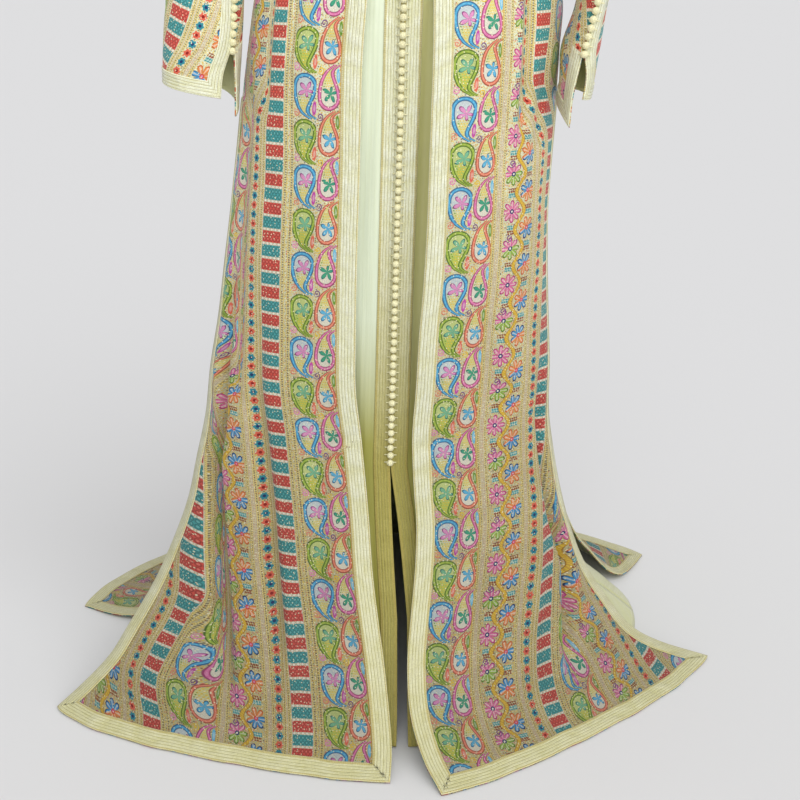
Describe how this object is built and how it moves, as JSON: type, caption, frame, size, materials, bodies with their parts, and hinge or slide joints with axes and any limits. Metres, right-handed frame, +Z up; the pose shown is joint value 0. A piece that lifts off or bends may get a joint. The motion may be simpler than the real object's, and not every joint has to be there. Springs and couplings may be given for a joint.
{
  "type": "takchita",
  "caption": "Long two-layer ceremonial dress: a satin under-dress with a row of knotted buttons, and an open patterned robe with braided edges, side slits, a train and a belt.",
  "frame": {"origin": "middle of the neck opening, level with the shoulder seams at the neck, where the wearer's neck and shoulders hold the garment", "axes": "+Z up, -Y to the front, +X to the right as seen from the front"},
  "size_m": [1.0125, 0.8981, 1.4261],
  "materials": {
    "print": "multicolour embroidered cloth",
    "satin": "satin",
    "braid": "ribbed metallic braid",
    "buttons": "knotted silk cord"
  },
  "bodies": {
    "root": {"robe_front_left": "print", "robe_front_right": "print", "robe_back": "print", "sleeve_left": "print", "sleeve_right": "print", "braid_front_left": "braid", "braid_front_right": "braid", "braid_back": "braid", "cuff_braid_left": "braid", "cuff_braid_right": "braid", "placket_left": "braid", "placket_right": "braid", "belt": "braid", "dress_front_left": "satin", "dress_front_right": "satin", "dress_back": "satin", "buttons_front": "buttons", "buttons_left_sleeve": "buttons", "buttons_right_sleeve": "buttons"}
  },
  "joints": []
}
